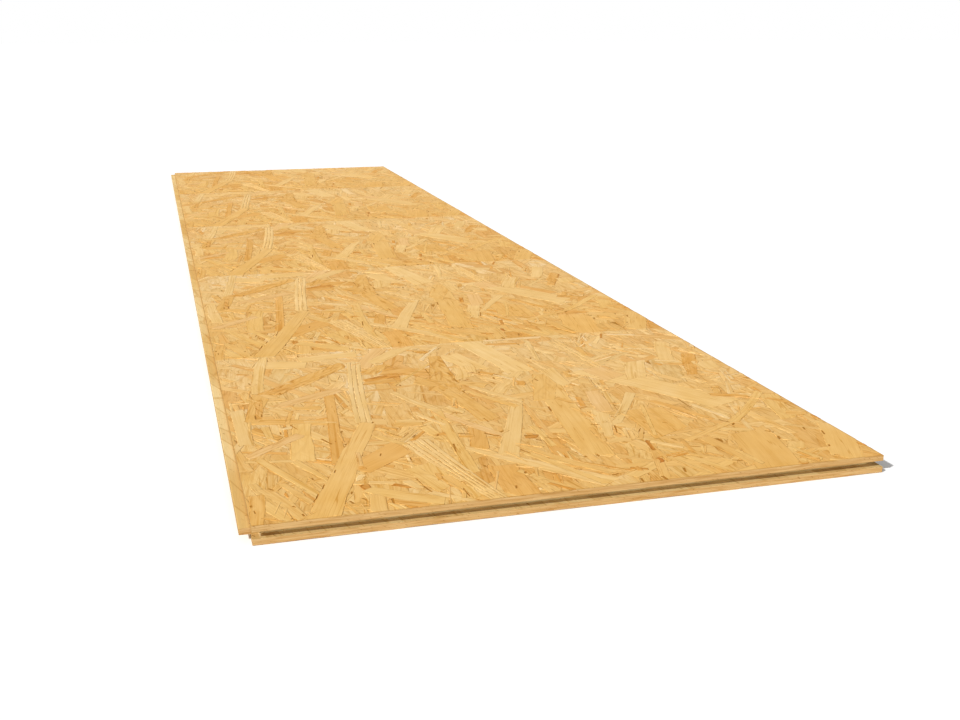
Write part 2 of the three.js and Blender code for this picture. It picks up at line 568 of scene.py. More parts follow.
MIDDLE = Kind(
    lengths=(40, 120),
    widths=(6, 20),
    starts=(0.8, 1.1),
    ends=(0.5, 1.1),
    stripes=(0.1, 1.1),
    tones=LARGE,
    torn=0.45,
    bow=0.012,
    leaves=0.2,
)
CHIP = replace(MIDDLE, lengths=(7, 26), widths=(1.4, 3.8), tones=SMALL, torn=0.4)
LOOSE = replace(MIDDLE, lengths=(70, 170), widths=(10, 34), torn=0.4)
SLIVER = Kind(
    lengths=(18, 72),
    widths=(2.4, 8),
    starts=(0.7, 1.1),
    ends=(0.3, 1.1),
    stripes=(0.1, 1.0),
    tones=SMALL,
    torn=0.25,
    bow=0.02,
    leaves=0.25,
)
FRINGE = replace(
    SLIVER,
    lengths=(12, 45),
    widths=(1.8, 5),
    ends=(0.3, 1.0),
    stripes=(0.1, 0.8),
    torn=0.2,
    leaves=0.4,
)

# In the photograph most of the small strands lean this far off the panel's length. LEANING
# is their share, and LEAN_SPREAD how many degrees they differ by.
LEAN = math.radians(-26)
LEANING = 0.75
LEAN_SPREAD = 34
SPLIT_LEAN_SPREAD = 46

# How far past the face's border a strand's middle may lie.
OVERHANG = 15


def random_angle(rng, spread):
    """An angle that is mostly about spread degrees off that lean, and otherwise any."""
    if rng.random() < LEANING:
        return rng.normal(LEAN, math.radians(spread))
    return rng.uniform(-math.pi / 2, math.pi / 2)


def random_middle(rng):
    return rng.uniform(FACE_LOW - OVERHANG, FACE_HIGH + OVERHANG)


def base_strands(rng):
    """Broad strands in staggered rows, so close that they leave no hole."""
    row_pitch, column_pitch, length, width = 92, 20, 130, 31
    about, astray, askew = (0.9, 1.2), 3, math.radians(9)
    stripes, torn = (0.2, 0.9), 0.5
    rows = math.ceil((FACE_HIGH[1] - FACE_LOW[1]) / row_pitch) + 2
    columns = math.ceil((FACE_HIGH[0] - FACE_LOW[0]) / column_pitch) + 2
    strands = []
    for row in range(rows):
        for column in range(columns):
            middle = FACE_LOW + ((column - 0.5) * column_pitch, (row - 0.5) * row_pitch)
            middle = middle + rng.normal(0, astray, 2)
            strands.append(
                strand_at(
                    middle,
                    length * rng.uniform(*about),
                    rng.normal(0, askew),
                    widths=(width * rng.uniform(*about), width * rng.uniform(*about)),
                    colour=random_tone(rng, *DEEP),
                    grain=(rng.uniform(*stripes), torn),
                )
            )
    order = rng.permutation(len(strands))
    return [strands[index] for index in order]


def loose_strands(rng, kind, count):
    """Strands of that kind, strewn over the face."""
    strands = []
    for _ in range(count):
        length = rng.uniform(*kind.lengths)
        width = rng.uniform(*kind.widths)
        middle, angle = random_middle(rng), random_angle(rng, LEAN_SPREAD)
        widths, colour = kind.tapered(rng, width), random_tone(rng, *kind.tones)
        strands.append(kind.grown(rng, middle, length, angle, widths, colour, length))
    return strands


def split_strands(rng, kind, count):
    """Strands that have split along their grain, as slivers side by side."""
    abreast, apart, slip, about, askew = (2, 7), 0.85, 0.12, (0.6, 1.1), math.radians(6)
    slivers = []
    for _ in range(count):
        middle = random_middle(rng)
        angle = random_angle(rng, SPLIT_LEAN_SPREAD)
        length = rng.uniform(*kind.lengths)
        along = np.array([math.sin(angle), math.cos(angle)])
        across = np.array([along[1], -along[0]])
        for _ in range(rng.integers(*abreast)):
            width = rng.uniform(*kind.widths)
            middle = middle + across * apart * width
            slipped = middle + along * rng.normal(0, slip * length)
            own_length = length * rng.uniform(*about)
            own_angle = angle + rng.normal(0, askew)
            widths, colour = kind.tapered(rng, width), random_tone(rng, *kind.tones)
            slivers.append(
                kind.grown(rng, slipped, own_length, own_angle, widths, colour, length)
            )
    return slivers


def fringe(rng, strands, kind):
    """Slivers on the sides of the broader ones of those strands, which break up their outlines."""
    apart, broad, askew = 90, 8, math.radians(22)
    slivers = []
    for strand in strands:
        for _ in range(rng.poisson(strand.length / apart) if min(strand.widths) > broad else 0):
            at = rng.uniform(0, strand.length)
            aside = rng.choice((-1, 1)) * strand.half_width(at)
            width = rng.uniform(*kind.widths)
            length = rng.uniform(*kind.lengths)
            colour = (np.array(strand.colour) + random_tone(rng, *kind.tones)) / 2
            middle = strand.on_face(np.array([[at, aside]]))[0]
            angle = math.atan2(*strand.along) + rng.normal(0, askew)
            widths = (width, width * rng.uniform(*kind.ends))
            slivers.append(kind.grown(rng, middle, length, angle, widths, tuple(colour), length))
    return slivers


def pits(rng, strands, count):
    """Narrow dark slits along the sides of some of those strands, where the pile is open."""
    half_lengths, longest, start_widths, end_widths = (1.5, 5), 0.4, (1.0, 2.1), (0.6, 1.4)
    slits = []
    for number in rng.choice(len(strands), count, replace=False):
        strand = strands[number]
        half = min(rng.uniform(*half_lengths), longest * strand.length)
        middle = rng.uniform(half, strand.length - half)
        u = np.array([middle - half, middle + half])
        v = rng.choice((-1, 1)) * strand.half_width(u)
        start, end = strand.on_face(np.stack([u, v], axis=1))
        slits.append(slit(start, end, (rng.uniform(*start_widths), rng.uniform(*end_widths))))
    return slits


def set_heights(strands, heights):
    """Spreads a layer's strands over its heights, the later ones higher."""
    for strand, height in zip(strands, np.linspace(*heights, len(strands))):
        strand.height = height
    return strands


def pile(rng, with_features):
    """The strands of one face that lie on the deepest ones, from the lowest to the topmost."""
    strands = set_heights(loose_strands(rng, MIDDLE, count=960), MIDDLE_HEIGHTS)
    slivers = split_strands(rng, SLIVER, count=445)
    chips = loose_strands(rng, CHIP, count=240)
    strands += set_heights(slivers + chips, SMALL_HEIGHTS)
    strands += set_heights(pits(rng, slivers, count=420), (PIT_HEIGHT, PIT_HEIGHT))
    if with_features:
        features = feature_strands(rng)
        strands += set_heights(features + fringe(rng, features, FRINGE), FEATURE_HEIGHTS)
        strands += set_heights(feature_slits(), (PIT_HEIGHT, PIT_HEIGHT))
    else:
        strands += set_heights(loose_strands(rng, LOOSE, count=380), FEATURE_HEIGHTS)
    return strands


# ---------------------------------------------------------------- what shows of the pile

# A strand of which less than this shows is left out: in mm2, or as a share of its own area.
LEAST_AREA = 20
LEAST_SHARE = 0.35


def areas_seen(strands):
    """How much of each strand shows from above, in mm2, found by painting them on a grid."""
    pixel = 1.0
    xs = np.arange(FACE_LOW[0] + pixel / 2, FACE_HIGH[0], pixel)
    ys = np.arange(FACE_LOW[1] + pixel / 2, FACE_HIGH[1], pixel)
    top = np.full((len(ys), len(xs)), -1)
    for number, strand in enumerate(strands):
        reach = max(strand.widths) / 2 + abs(strand.bow)
        low = np.minimum(strand.start, strand.end) - reach
        high = np.maximum(strand.start, strand.end) + reach
        columns = slice(*np.searchsorted(xs, (low[0], high[0])))
        rows = slice(*np.searchsorted(ys, (low[1], high[1])))
        grid = np.stack(np.meshgrid(xs[columns], ys[rows]), axis=-1)
        u, v = np.moveaxis(strand.own(grid), -1, 0)
        covered = (u > 0) & (u < strand.length) & (np.abs(v) < strand.half_width(u))
        top[rows, columns][covered] = number
    return np.bincount(top[top >= 0], minlength=len(strands)) * pixel**2


def without_hidden(deepest, others):
    """Leaves out the strands of which next to nothing shows.

    The deepest ones have nothing under them, so they stay wherever they show at all.
    """
    areas = np.array([strand.length * sum(strand.widths) / 2 for strand in others])
    least = np.minimum(LEAST_AREA, LEAST_SHARE * areas)
    seen = areas_seen(deepest + others)[len(deepest) :]
    shown = [strand for strand, area, enough in zip(others, seen, least) if area >= enough]
    left = deepest + shown
    return [strand for strand, area in zip(left, areas_seen(left)) if area > 0]


def end_line(rng, strand, at, sense):
    """How far an end of a strand reaches along u for each v across it: sawn slanting or torn."""
    torn_share, sawn_depth = 0.45, 0.4
    # A torn end is at most this deep: in mm, for half the strand's width and for its length.
    deepest, depth_for_half, depth_for_length = 9, 0.6, 0.1
    teeth_range, toothed_half, teeth_reach = (1, 4), 3, 0.7
    slant_spread, steepest = 0.35, 0.8
    half = float(strand.half_width(np.array(at)))
    torn = rng.random() < torn_share
    teeth = rng.integers(*teeth_range) if half > toothed_half else 0
    torn_depth = min(deepest, depth_for_half * half, depth_for_length * strand.length)
    depth = torn_depth if torn else sawn_depth
    between = np.sort(rng.uniform(-teeth_reach, teeth_reach, teeth)) * half
    v = np.concatenate([[-half], between, [half]])
    slant = float(np.clip(rng.normal(0, slant_spread), -steepest, steepest))
    u = at + slant * v - sense * rng.uniform(0, depth, len(v))
    return v, u


def rings(rng, strand):
    """The strand's outline and, inside it, the edge of its flat top."""
    tips = strand.half_width(np.array([0.0, strand.length]))
    rim = min(RIM, RIM_SHARE * float(tips.min()))
    near_v, near_u = end_line(rng, strand, 0.0, -1)
    far_v, far_u = end_line(rng, strand, strand.length, 1)
    side_step, corner, unevenness, broadest = 36, 3 * rim, 0.05, 16
    first, last = near_u.max() + corner, far_u.min() - corner
    if last > first:
        side_u = np.linspace(first, last, max(1, round((last - first) / side_step)) + 1)
    else:
        side_u = np.array([strand.length / 2])
    wobble = unevenness * min(broadest, *strand.widths)
    low = -strand.half_width(side_u) + rng.normal(0, wobble, len(side_u))
    high = strand.half_width(side_u) + rng.normal(0, wobble, len(side_u))

    def ring(inset):
        near_in = np.clip(near_v, near_v[0] + inset, near_v[-1] - inset)
        far_in = np.clip(far_v, far_v[0] + inset, far_v[-1] - inset)
        near = np.stack([np.interp(near_in, near_v, near_u) + inset, near_in], axis=1)
        far = np.stack([np.interp(far_in, far_v, far_u) - inset, far_in], axis=1)
        low_side = np.stack([side_u, low + inset], axis=1)
        high_side = np.stack([side_u, high - inset], axis=1)
        return strand.on_face(np.concatenate([low_side, far, high_side[::-1], near[::-1]]))

    return ring(0.0), ring(rim)


def face_corners():
    (left, near), (right, far) = FACE_LOW, FACE_HIGH
    return [(left, near), (right, near), (right, far), (left, far)]


# Points nearer to each other than this are one. It is small next to the least outline, as an
# outline that closes up on itself would claim the whole face.
MERGE = 1e-4


def as_array(vectors, size):
    """A list of vectors as an array."""
    return np.fromiter(chain.from_iterable(vectors), float).reshape(-1, size)


def cut_pile(rng, strands):
    """Cuts every outline along every other. Returns the points, the triangles and their zones.

    Zone 0 is bare. Strand n has zone 2n + 1 for its rim and 2n + 2 for its flat top, and a
    triangle's zone is the topmost one that covers it.
    """
    points, polygons = list(face_corners()), [[0, 1, 2, 3]]
    for strand in strands:
        for ring in rings(rng, strand):
            polygons.append(list(range(len(points), len(points) + len(ring))))
            points.extend(map(tuple, ring))
    cut = geometry.delaunay_2d_cdt([Vector(point) for point in points], [], polygons, 1, MERGE)
    inside = [number for number, covers in enumerate(cut[5]) if 0 in covers]
    zones = np.fromiter((max(cut[5][number]) for number in inside), int)
    triangles = as_array(cut[2], 3).astype(int)[inside]
    return as_array(cut[0], 2), triangles, zones


def triangle_edges(triangles):
    """Every edge as (low point, high point), three to a triangle, and whose triangle it is."""
    edges = np.sort(triangles[:, [0, 1, 1, 2, 2, 0]].reshape(-1, 2), axis=1)
    return edges, np.repeat(np.arange(len(triangles)), 3)


def zone_borders(triangles, zones):
    """The edges with a different zone on either side."""
    edges, owner = triangle_edges(triangles)
    order = np.lexsort((edges[:, 1], edges[:, 0]))
    edges, owner = edges[order], owner[order]
    paired = np.all(edges[1:] == edges[:-1], axis=1)
    different = zones[owner[1:]] != zones[owner[:-1]]
    return edges[1:][paired & different]


def straightened(points, edges):
    """The same lines with the points left out at which nothing turns or meets."""
    tolerance = 0.03
    place = (points[:, 0] + 1j * points[:, 1]).tolist()
    joined = {}
    for a, b in edges.tolist():
        joined.setdefault(a, set()).add(b)
        joined.setdefault(b, set()).add(a)
    for point in list(joined):
        if len(joined[point]) != 2:
            continue
        a, b = joined[point]
        chord, offset = place[b] - place[a], place[point] - place[a]
        apart = abs((chord.conjugate() * offset).imag)
        if b not in joined[a] and apart < tolerance * abs(chord):
            for here, there in ((a, b), (b, a)):
                joined[here].remove(point)
                joined[here].add(there)
            del joined[point]
    return [(a, b) for a in joined for b in joined[a] if a < b]


def visible_zones(rng, strands):
    """The face as triangles that follow only the lines that show."""
    points, triangles, zones = cut_pile(rng, strands)
    lines = straightened(points, zone_borders(triangles, zones))
    ends = sorted({point for line in lines for point in line})
    used = {point: number for number, point in enumerate(ends)}
    corners = [Vector(corner) for corner in face_corners()]
    # The line across the middle parts the two rows of the texture map.
    middle = (FACE_LOW[1] + FACE_HIGH[1]) / 2
    fold = [Vector((FACE_LOW[0], middle)), Vector((FACE_HIGH[0], middle))]
    given = [Vector(points[point]) for point in used] + corners + fold
    base = len(used)
    edges = [(used[a], used[b]) for a, b in lines] + [(base + 4, base + 5)]
    outline = [base, base + 1, base + 2, base + 3]
    final = geometry.delaunay_2d_cdt(given, edges, [outline], 1, MERGE)
    final_points = np.clip(as_array(final[0], 2), FACE_LOW, FACE_HIGH)
    final_triangles = as_array(final[2], 3).astype(int)

    tree = BVHTree.FromPolygons([(x, y, 0) for x, y in points], triangles.tolist())
    middles = final_points[final_triangles].mean(axis=1)
    final_zones = []
    for x, y in middles:
        found = tree.ray_cast(Vector((x, y, 1)), Vector((0, 0, -1)))[2]
        if found is None:
            found = tree.find_nearest(Vector((x, y, 0)))[2]
        final_zones.append(zones[found])
    return final_points, final_triangles, np.array(final_zones)


# ---------------------------------------------------------------- meshes


def placed(name, data):
    """A new object in the scene."""
    thing = bpy.data.objects.new(name, data)
    bpy.context.collection.objects.link(thing)
    return thing


def set_attribute(mesh, name, kind, domain, values):
    attribute = mesh.attributes.new(name, kind, domain)
    field = {"FLOAT": "value", "FLOAT_VECTOR": "vector", "FLOAT_COLOR": "color"}[kind]
    attribute.data.foreach_set(field, np.asarray(values, np.float32).ravel())


@dataclass
class Relief:
    """What shows of a pile, as triangles on the face. -1 stands for a bare spot."""

    strands: list
    points: np.ndarray
    triangles: np.ndarray
    zones: np.ndarray

    def __post_init__(self):
        self.shown = (self.zones - 1) // 2
        # Where strands meet, a point lies as low as the lowest of them.
        self.lowest = np.full(len(self.points), len(self.strands))
        np.minimum.at(self.lowest, self.triangles.ravel(), np.repeat(self.shown, 3))

    def heights(self):
        return np.array([strand.height for strand in self.strands] + [PIT_HEIGHT])[self.lowest]

    def border(self):
        """The edges round the face, from point to point with the face on their left."""
        edges, _ = triangle_edges(self.triangles)
        _, first, counts = np.unique(edges, axis=0, return_index=True, return_counts=True)
        directed = self.triangles[:, [0, 1, 1, 2, 2, 0]].reshape(-1, 2)
        return directed[first[counts == 1]]


def strand_sheet(name, seed, upward, with_features):
    """A closed sheet of strands, SKIN thick, on the top or the underside of the board."""
    rng = np.random.default_rng(seed)
    deepest = set_heights(base_strands(rng), BASE_HEIGHTS)
    strands = without_hidden(deepest, pile(rng, with_features))
    relief = Relief(strands, *visible_zones(rng, strands))
    border = relief.border()
    rim_points = np.unique(border)

    # An outer wall goes down from the border to a flat base.
    base_of = dict(zip(rim_points.tolist(), count(len(relief.points))))
    centre = len(relief.points) + len(rim_points)
    walls = [[b, a, base_of[a], base_of[b]] for a, b in border.tolist()]
    base = [[base_of[b], base_of[a], centre] for a, b in border.tolist()]
    faces = relief.triangles.tolist() + walls + base

    middle = [(FACE_LOW + FACE_HIGH) / 2]
    flat = np.concatenate([relief.points, relief.points[rim_points], middle])
    above = np.concatenate([relief.heights(), np.zeros(len(rim_points) + 1)])
    level = THICKNESS - SKIN + above if upward else SKIN - above
    turn = 1 if upward else -1
    mesh = bpy.data.meshes.new(name)
    vertices = np.column_stack([flat, level]) * MM
    mesh.from_pydata(vertices.tolist(), [], [face[::turn] for face in faces])
    add_strand_looks(mesh, relief, turn)
    add_bake_map(mesh, relief, border, turn)
    return placed(name, mesh)


# How far apart in the noise the strands' grain lies from strand to strand.
SEED_STEP = 7.31


def add_strand_looks(mesh, relief, turn):
    """Writes what the strand material reads: each strand's colour, stripes, grain and rim."""
    bare = Strand(np.zeros(2), np.array([0.0, 1.0]), (1, 1), TONES["gap"], GRAIN["plain"])
    every = relief.strands + [bare]
    extra_faces = len(mesh.polygons) - len(relief.triangles)
    extra_corners = len(mesh.loops) - relief.triangles.size

    def write_faces(name, kind, per_strand):
        values = np.array(per_strand)[relief.shown]
        rest = np.tile(per_strand[-1], (extra_faces, 1)).reshape(extra_faces, *values.shape[1:])
        set_attribute(mesh, name, kind, "FACE", np.concatenate([values, rest]))

    def write_corners(name, kind, values):
        flat_values = values.reshape(relief.triangles.size, -1)
        rest = np.zeros((extra_corners, flat_values.shape[1]))
        set_attribute(mesh, name, kind, "CORNER", np.concatenate([flat_values, rest]))

    write_faces("strand_colour", "FLOAT_COLOR", [(*strand.colour, 1.0) for strand in every])
    write_faces("strand_stripes", "FLOAT", [strand.grain[0] for strand in every])
    write_faces("strand_torn", "FLOAT", [strand.grain[1] for strand in every])

    corners = relief.triangles[:, ::turn]
    start, along, length, bow = (
        np.array([getattr(strand, name) for strand in every])[relief.shown][:, None]
        for name in ("start", "along", "length", "bow")
    )
    offset = relief.points[corners] - start
    u = (offset * along).sum(axis=2)
    across = offset[..., 1] * along[..., 0] - offset[..., 0] * along[..., 1]
    share = u / length
    v = across - 4 * bow * share * (1 - share)
    seeds = np.broadcast_to((relief.shown * SEED_STEP)[:, None], u.shape)
    write_corners("strand_grain", "FLOAT_VECTOR", np.stack([u, v, seeds], axis=2))
    is_rim = (relief.zones % 2 == 1)[:, None]
    at_foot = relief.lowest[corners] < relief.shown[:, None]
    write_corners("strand_rim", "FLOAT", (is_rim & at_foot).astype(float))


# The sheets' texture map. The face lies on it in two rows, the near half and the far half.
# The wall and the base have a narrow strip each above them.
MAP_MARGIN = 0.01
MAP_ROWS = (0.01, 0.49)
MAP_ROW_HEIGHT = 0.474
MAP_WALL = (0.97, 0.98)
MAP_BASE = (0.985, 0.995)


def add_bake_map(mesh, relief, border, turn):
    """A texture map that spends next to all of its room on the strands."""
    width = FACE_HIGH[0] - FACE_LOW[0]
    half_length = (FACE_HIGH[1] - FACE_LOW[1]) / 2
    corners = relief.points[relief.triangles[:, ::turn]] - FACE_LOW
    far = (corners.mean(axis=1)[:, 1] > half_length).astype(int)
    along = (corners[..., 1] - far[:, None] * half_length) / half_length
    across = corners[..., 0] / width
    rows = np.array(MAP_ROWS)[far][:, None]
    face_map = np.stack(
        [MAP_MARGIN + (1 - 2 * MAP_MARGIN) * along, rows + MAP_ROW_HEIGHT * across], axis=2
    )

    # Where each border edge starts and ends on the way round from the near left corner.
    x, y = (relief.points[border[:, 0]] - FACE_LOW).T
    sides = [y < MERGE, x > width - MERGE, y > 2 * half_length - MERGE]
    ways = [x, width + y, 2 * (width + half_length) - x]
    start = np.select(sides, ways, 2 * width + 4 * half_length - y)
    reach = np.linalg.norm(np.diff(relief.points[border], axis=1)[:, 0], axis=1)
    around = 2 * width + 4 * half_length
    a, b = (MAP_MARGIN + (1 - 2 * MAP_MARGIN) * way / around for way in (start, start + reach))

    def strip(us, vs):
        return np.stack([np.stack([u, np.full(len(border), v)], axis=1) for u, v in zip(us, vs)], 1)

    wall = strip((b, a, a, b), (MAP_WALL[1], MAP_WALL[1], MAP_WALL[0], MAP_WALL[0]))
    centre = np.full(len(border), 0.5)
    base = strip((b, a, centre), (MAP_BASE[0], MAP_BASE[0], MAP_BASE[1]))
    parts = [face_map, wall[:, ::turn], base[:, ::turn]]
    layer = mesh.uv_layers.new(name="OFBake")
    coordinates = np.concatenate([part.reshape(-1, 2) for part in parts])
    layer.data.foreach_set("uv", coordinates.astype(np.float32).ravel())


def milled_core(cad):
    """The CAD solid less the two sheets: its faces drawn in by SKIN, its edges as they are."""
    mesh = cad.data.copy()
    mesh.name = "milled_core"
    for vertex in mesh.vertices:
        vertex.co.z = min(max(vertex.co.z, SKIN * MM), (THICKNESS - SKIN) * MM)
    # A face whose middle lies inside the board's bounds is in a groove.
    centres = np.array([polygon.center for polygon in mesh.polygons]) / MM
    margin = 0.1
    place, level = centres[:, :2], centres[:, 2]
    in_face = np.all((place > FACE_LOW + margin) & (place < FACE_HIGH - margin), axis=1)
    in_board = (level > SKIN + margin) & (level < THICKNESS - SKIN - margin)
    set_attribute(mesh, "in_groove", "FLOAT", "FACE", (in_face & in_board).astype(float))
    return placed("milled_core", mesh)


# ---------------------------------------------------------------- materials


class Value:
    """What a node gives: a number, a place or a colour. Sums with it add nodes to its tree."""

    def __init__(self, socket):
        self.socket = socket

    def node(self, kind, values, output=0, **settings):
        return add(self.socket.id_data, kind, values, output, **settings)

    def sibling(self, output):
        """What the same node gives at another of its outputs."""
        return Value(self.socket.node.outputs[output])

    def calculated(self, operation, other=0.0):
        return self.node("ShaderNodeMath", {0: self, 1: other}, operation=operation)

    __add__ = partialmethod(calculated, "ADD")
    __sub__ = partialmethod(calculated, "SUBTRACT")
    __mul__ = partialmethod(calculated, "MULTIPLY")
    __truediv__ = partialmethod(calculated, "DIVIDE")
    __gt__ = partialmethod(calculated, "GREATER_THAN")
    __lt__ = partialmethod(calculated, "LESS_THAN")
    __abs__ = partialmethod(calculated, "ABSOLUTE")
    fraction = partialmethod(calculated, "FRACT")
    higher = partialmethod(calculated, "MAXIMUM")
    lower = partialmethod(calculated, "MINIMUM")

    def ramp(self, low, high):
        """The number brought from low..high to 0..1, eased at both ends."""
        values = {0: self, 1: low, 2: high, 3: 0.0, 4: 1.0}
        return self.node("ShaderNodeMapRange", values, interpolation_type="SMOOTHSTEP")

    def between(self, first, second):
        """The number that lies this share of the way from first to second."""
        return self.node("ShaderNodeMix", {0: self, 2: first, 3: second})

    def colour(self, first, second):
        """The colour that lies this share of the way from first to second."""
        return self.node("ShaderNodeMix", {0: self, 6: first, 7: second}, 2, data_type="RGBA")

    def tinted(self, tint, share=1.0):
        """The colour times a tint, or that share of the way to it."""
        settings = {"data_type": "RGBA", "blend_type": "MULTIPLY"}
        return self.node("ShaderNodeMix", {0: share, 6: self, 7: tint}, 2, **settings)

    def xyz(self):
        """The three numbers of a place, a direction or a colour."""
        first = self.node("ShaderNodeSeparateXYZ", {0: self})
        return [first.sibling(number) for number in range(3)]

    def stretched(self, scales):
        """The place with its numbers times those scales, or all times one."""
        return self.node("ShaderNodeVectorMath", {0: self, 1: scales}, operation="MULTIPLY")

    def turned(self, angle):
        """The place turned about the third axis."""
        values = {"Vector": self, "Angle": angle}
        return self.node("ShaderNodeVectorRotate", values, rotation_type="Z_AXIS")

    def noise(self, rates, detail, roughness=0.5):
        """Noise of about 0 to 1. rates are how fast it changes along each of the axes."""
        values = {"Scale": 1.0, "Detail": detail, "Roughness": roughness}
        return self.node("ShaderNodeTexNoise", {"Vector": self.stretched(rates), **values})

    def patches(self, length, width, feature="F1"):
        """How far it is to the middle of a patch of that size, or to its border."""
        values = {"Vector": self.stretched((1 / length, 1 / width, 1.0)), "Scale": 1.0}
        return self.node("ShaderNodeTexVoronoi", values, feature=feature)

    def own_number(self):
        """A random number for each of those patches."""
        return self.sibling("Color").xyz()[0]


def feed(node, values):
    """Gives each of those sockets of a node a number or a colour, or links a Value to it."""
    for socket, value in values.items():
        if isinstance(value, Value):
            node.id_data.links.new(value.socket, node.inputs[socket])
        else:
            node.inputs[socket].default_value = value


def add(tree, kind, values=None, output=0, **settings):
    """Adds a node to a tree and returns what it gives at that output."""
    node = tree.nodes.new(kind)
    for name, value in settings.items():
        setattr(node, name, value)
    feed(node, values or {})
    return Value(node.outputs[output])


def new_tree(holder):
    """The node tree of a new material or world."""
    holder.use_nodes = True
    return holder.node_tree


def attribute(tree, name, output="Fac"):
    return add(tree, "ShaderNodeAttribute", output=output, attribute_name=name)


def position(tree):
    """Where a point is on the object, in metres."""
    return add(tree, "ShaderNodeTexCoord", output="Object")


def facing(tree):
    """Which way the surface faces."""
    return add(tree, "ShaderNodeNewGeometry", output="True Normal")


# Dry wood hardly shines. The bumps are how high its fine relief stands, in mm.
WOOD_SPECULAR = 0.08
STRAND_BUMP = 0.4
EDGE_BUMP = 0.15


def wood_shader(name, roughness_of, colour_of, relief_of, relief_height):
    """A material of rough dry wood. The three functions give its sockets for a node tree."""
    material = bpy.data.materials.new(name)
    tree = new_tree(material)
    relief = {"Height": relief_of(tree), "Distance": relief_height * MM}
    values = {
        "Base Color": colour_of(tree),
        "Roughness": roughness_of(tree),
        "Specular IOR Level": WOOD_SPECULAR,
        "Normal": add(tree, "ShaderNodeBump", relief),
    }
    feed(tree.nodes["Principled BSDF"], values)
    return material


# Each noise has how fast it changes in a millimetre along a strand, across it and from one
# strand to the next, then its detail and, where it isn't 0.5, its roughness.
RING_NOISE = (0.007, 0.32, 1.0), 1.0
FIBRE_NOISE = (0.03, 1.3, 1.0), 3.0, 0.7
SHADE_NOISE = (0.016, 0.11, 1.0), 1.0
TORN_NOISE = (0.03, 0.09, 1.0), 1.0
CRACK_NOISE = (0.008, 0.20, 1.0), 1.0
CRACKED_NOISE = (0.014, 0.10, 0.7), 1.0
SHEEN_NOISE = (0.03, 0.7, 1.0), 2.0

# The same in a metre of the board, whatever strand is there.
CLOUD_NOISE = (34, 34, 34), 2.0
RIM_NOISE = (120, 120, 120), 1.0

# Between which values of a noise, a distance or a mark each effect comes in.
RING_RAMP = (0.5, 0.72)
TORN_RAMP = (0.46, 0.54)
GAP_RAMP = (0.55, 0.85)
CRACK_RAMP = (0.024, 0.006)
CRACKED_RAMP = (0.44, 0.62)
FOOT_RAMP = (0.2, 0.95)
RIM_RAMP = (0.38, 0.58)

# The darkest and the palest tint that each of them gives.
FIBRE_TINTS = (0.91, 0.84, 0.66, 1), (1.09, 1.15, 1.34, 1)
SHADE_TINTS = (0.93, 0.89, 0.80, 1), (1.06, 1.10, 1.20, 1)
CLOUD_TINTS = (0.97, 0.92, 0.77, 1), (1.03, 1.08, 1.24, 1)
SPLINTER_TINTS = (0.95, 0.87, 0.70, 1), (1.04, 1.10, 1.26, 1)

# How much of each colour is left in a gap, on a rim, in a growth ring, in a fleck of bark, in
# a crack and along the board's sharp border.
GAP_TINT = (0.76, 0.63, 0.42, 1)
RIM_SHADE_TINT = (0.54, 0.39, 0.20, 1)
RING_TINT = (0.84, 0.72, 0.48, 1)
FLECK_TINT = (0.70, 0.54, 0.34, 1)
CRACK_TINT = (0.82, 0.70, 0.49, 1)
BORDER_TINT = (0.70, 0.62, 0.48, 1)
BORDER_WIDTH = 2.2
SHOULDER_WIDTH = 1.6

# The splinters that a torn surface breaks into: two sets that lie across each other, each
# with its length, its width and how far it turns off the strand's own grain.
SPLINTERS = ((26.0, 4.6, math.radians(10)), (19.0, 3.2, math.radians(-24)))

# Flecks of bark: the length and width of the patch that each has to itself, how far it
# reaches from its middle, and which of the patches' numbers have one.
FLECK_PATCH = (19.0, 4.5)
FLECK_RAMP = (0.16, 0.096)
FLECKLESS_RAMP = (0.965, 0.98)

# How rough the strands are, and how high their fibres, their splinters and the gaps between
# those stand, as a share of STRAND_BUMP.
STRAND_ROUGHNESS = (0.6, 0.82)
FIBRE_HEIGHT = 0.25
SPLINTER_HEIGHT = 0.25
GAP_DEPTH = 0.4


def cells(place, length, width):
    """Patches of that length and width: a random number for each, and 1 in the gaps."""
    distance = place.patches(length, width)
    return distance.own_number(), distance.ramp(*GAP_RAMP)


def splinters(grain):
    """The two sets of splinters, each in its own patches of a surface. Tone, then gaps."""
    sets = [cells(grain.turned(lean), length, width) for length, width, lean in SPLINTERS]
    patch = grain.noise(*TORN_NOISE).ramp(*TORN_RAMP)
    return [patch.between(first, second) for first, second in zip(*sets)]


def flecks(grain):
    """1 on short dark flecks along the grain."""
    distance = grain.patches(*FLECK_PATCH)
    return distance.ramp(*FLECK_RAMP) * distance.own_number().ramp(*FLECKLESS_RAMP)


def cracks(grain):
    """1 on long thin lines that wind along the grain, on some strands more than on others."""
    line = abs(grain.noise(*CRACK_NOISE) - 0.5).ramp(*CRACK_RAMP)
    return line * grain.noise(*CRACKED_NOISE).ramp(*CRACKED_RAMP)


def along_border(tree):
    """1 on the very border of the grooved side and the ends, fading out over BORDER_WIDTH."""
    x, y, _ = position(tree).xyz()
    side, end = (
        way.ramp((reach - BORDER_WIDTH) * MM, reach * MM)
        for way, reach in ((x, FACE_HIGH[0]), (abs(y), FACE_HIGH[1]))
    )
    return side.higher(end)


def shoulder_shade_share(tree):
    """1 in the corner between the side tongue and the board, where painted shade goes, fading out
    over SHOULDER_WIDTH.
    """
    distance = abs(position(tree).xyz()[0] - FACE_LOW[0] * MM)
    return distance.ramp(SHOULDER_WIDTH * MM, 0.0)


